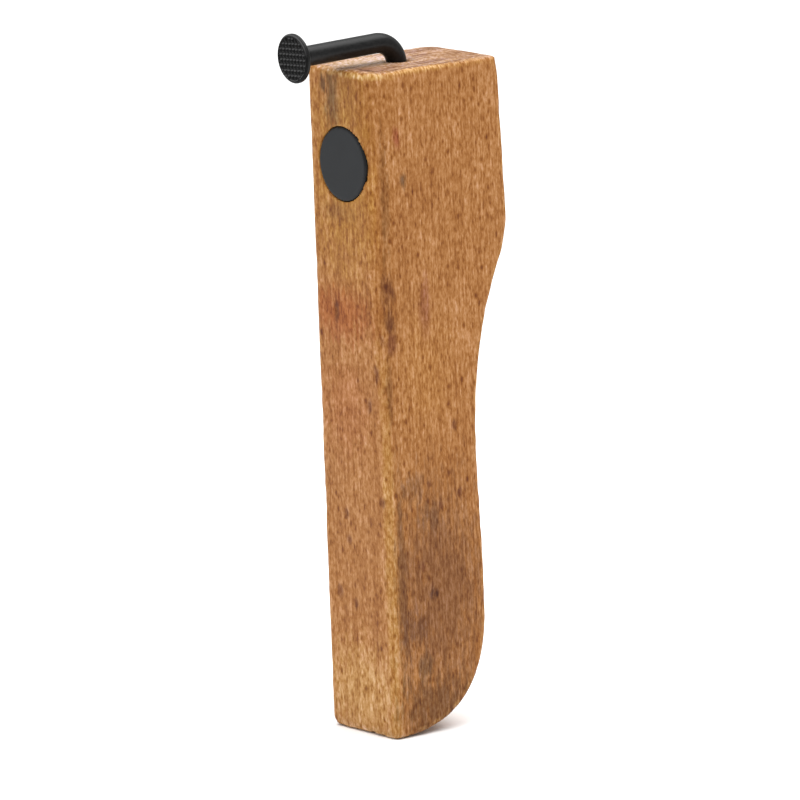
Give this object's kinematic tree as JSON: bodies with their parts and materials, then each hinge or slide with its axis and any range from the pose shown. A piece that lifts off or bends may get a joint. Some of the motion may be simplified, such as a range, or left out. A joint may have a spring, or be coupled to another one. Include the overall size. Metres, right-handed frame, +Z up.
{
  "type": "bottle opener",
  "caption": "Hand-held bottle opener: a shaped wooden grip with a bent nail as the cap lifter and a round magnet in its narrow face that catches the cap.",
  "frame": {"origin": "middle of the model's box in X and Y, on the plane that the foot touches", "axes": "+Z up along the grip to the nail, -Y out of the narrow front face that holds the magnet, X across the thickness"},
  "size_m": [0.0274, 0.0562, 0.1812],
  "materials": {
    "wood": "oiled, satin, worn at the edges",
    "black_steel": "matt black",
    "ferrite": "matt charcoal grey, bare ferrite",
    "adhesive": "cured adhesive, hidden"
  },
  "bodies": {
    "root": {"wood_handle": "wood", "bent_nail": "black_steel", "cap_magnet": "ferrite", "magnet_glue": "adhesive", "nail_glue": "adhesive"}
  },
  "joints": []
}
